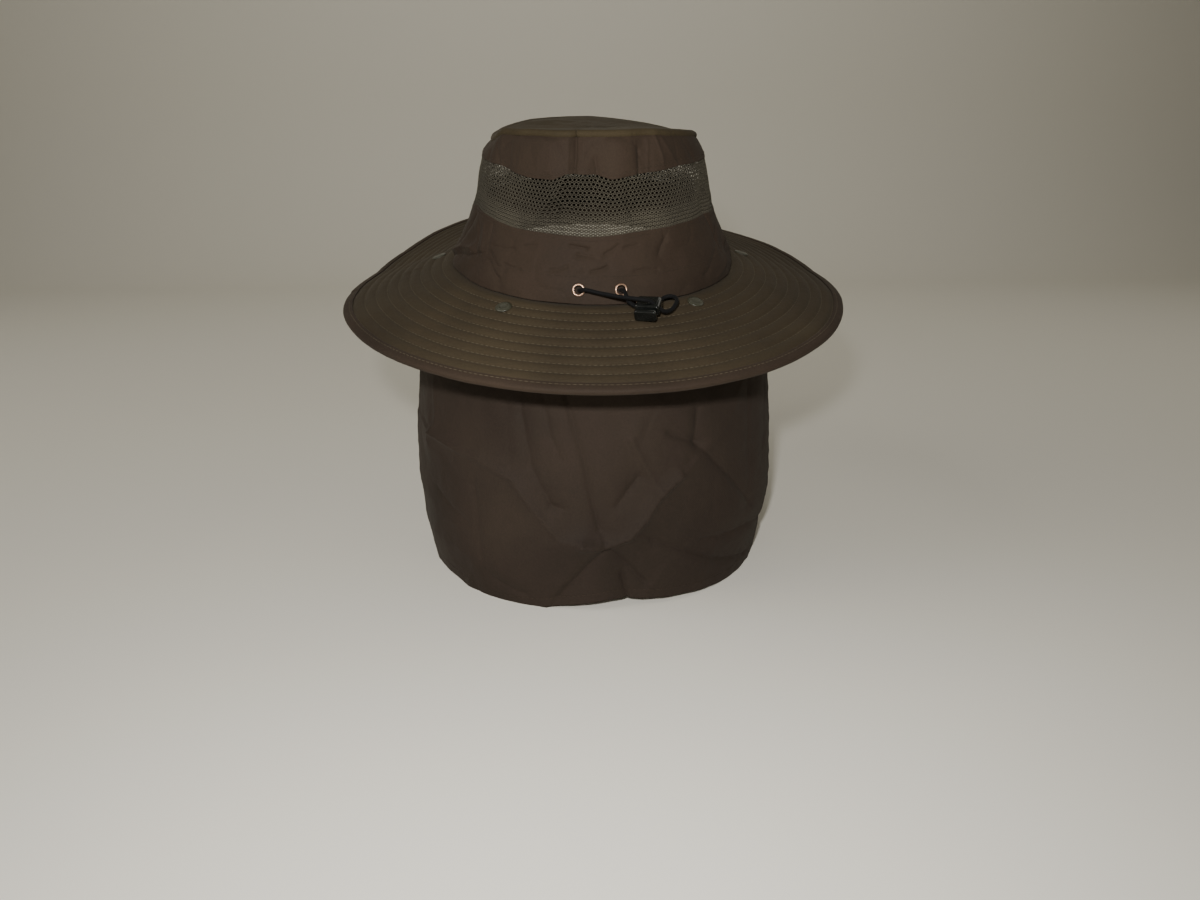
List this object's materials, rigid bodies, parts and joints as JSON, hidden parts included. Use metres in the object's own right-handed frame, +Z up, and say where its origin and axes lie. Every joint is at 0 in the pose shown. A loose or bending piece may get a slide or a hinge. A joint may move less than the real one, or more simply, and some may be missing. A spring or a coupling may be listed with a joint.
{
  "type": "flap sun hat",
  "caption": "Wide-brimmed sun hat with a net crown band, a ribbed brim, a snapped-on neck flap and a drawcord in a sprung cord lock.",
  "frame": {"origin": "centre of the oval where the brim is sewn to the crown, where the hat sits on a head", "axes": "+Z up along the wearer's head, +Y to the wearer's face, +X to the wearer's right; the flap and the drawcord are at -Y"},
  "size_m": [0.314, 0.3229, 0.2817],
  "materials": {
    "cloth": "plain-woven dark brown polyester, soft low sheen",
    "net": "see-through dark olive-grey knitted net",
    "snap_plastic": "dark grey-green, slightly see-through",
    "eyelet_metal": "worn rose brass, satin",
    "lock_plastic": "glossy black",
    "cord": "black braided cord"
  },
  "bodies": {
    "hat": {"crown_top": "cloth", "crown_upper_band": "cloth", "crown_lower_band": "cloth", "brim": "cloth", "brim_binding": "cloth", "neck_flap": "cloth", "crown_mesh_band": "net", "flap_snap_left_front": "snap_plastic", "flap_snap_left_back": "snap_plastic", "flap_snap_right_back": "snap_plastic", "flap_snap_right_front": "snap_plastic", "grommet_left": "eyelet_metal", "grommet_right": "eyelet_metal", "cord_lock_body": "lock_plastic", "drawcord": "cord"},
    "plunger": {"cord_lock_plunger": "lock_plastic"}
  },
  "joints": [
    {"name": "lock_press", "type": "slide", "parent": "hat", "child": "plunger", "axis": [0.2971, 0.8199, 0.4893], "range_m": [0, 0.002], "stiffness_N_per_m": 1000, "springref_m": -0.001}
  ]
}
